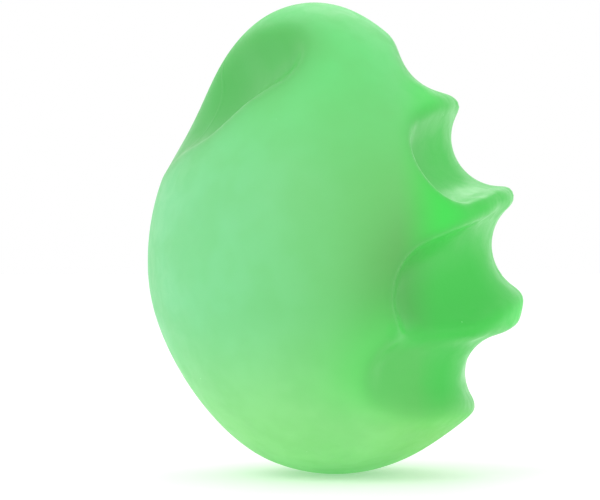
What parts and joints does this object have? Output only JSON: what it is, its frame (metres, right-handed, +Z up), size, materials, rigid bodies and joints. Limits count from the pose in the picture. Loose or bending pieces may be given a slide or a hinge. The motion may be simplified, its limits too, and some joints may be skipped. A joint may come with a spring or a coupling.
{
  "type": "stress ball",
  "caption": "Gel-filled glow-in-the-dark stress ball in the shape a closed hand squeezes it to, with thumb and finger grooves and a plugged fill hole on the palm side.",
  "frame": {"origin": "the middle of the gripped ball's width and height, where the closed hand holds it", "axes": "+X to the side that the four fingers wrap round, -Y to the front, where the skin bulges out between the thumb and the fingertips, +Y to the palm flat with the fill hole, +Z up to the crown between the thumb and the index finger"},
  "size_m": [0.0658, 0.0681, 0.0827],
  "materials": {
    "glow_skin": "satin translucent green rubber with glow powder in it, faintly dusty",
    "gel": "thick translucent gel, pale green",
    "plug_rubber": "satin green rubber, a little darker than the skin",
    "clear_sealant": "cured clear glue, glossy"
  },
  "bodies": {
    "ball": {"outer_skin": "glow_skin", "gel_filling": "gel"},
    "plug": {"fill_plug": "plug_rubber", "plug_sealant": "clear_sealant"}
  },
  "joints": [
    {"name": "squeeze", "type": "slide", "parent": "ball", "child": "plug", "axis": [0, -1, 0], "range_m": [0, 0.02], "stiffness_N_per_m": 2000, "deforming": ["outer_skin", "gel_filling"]}
  ]
}
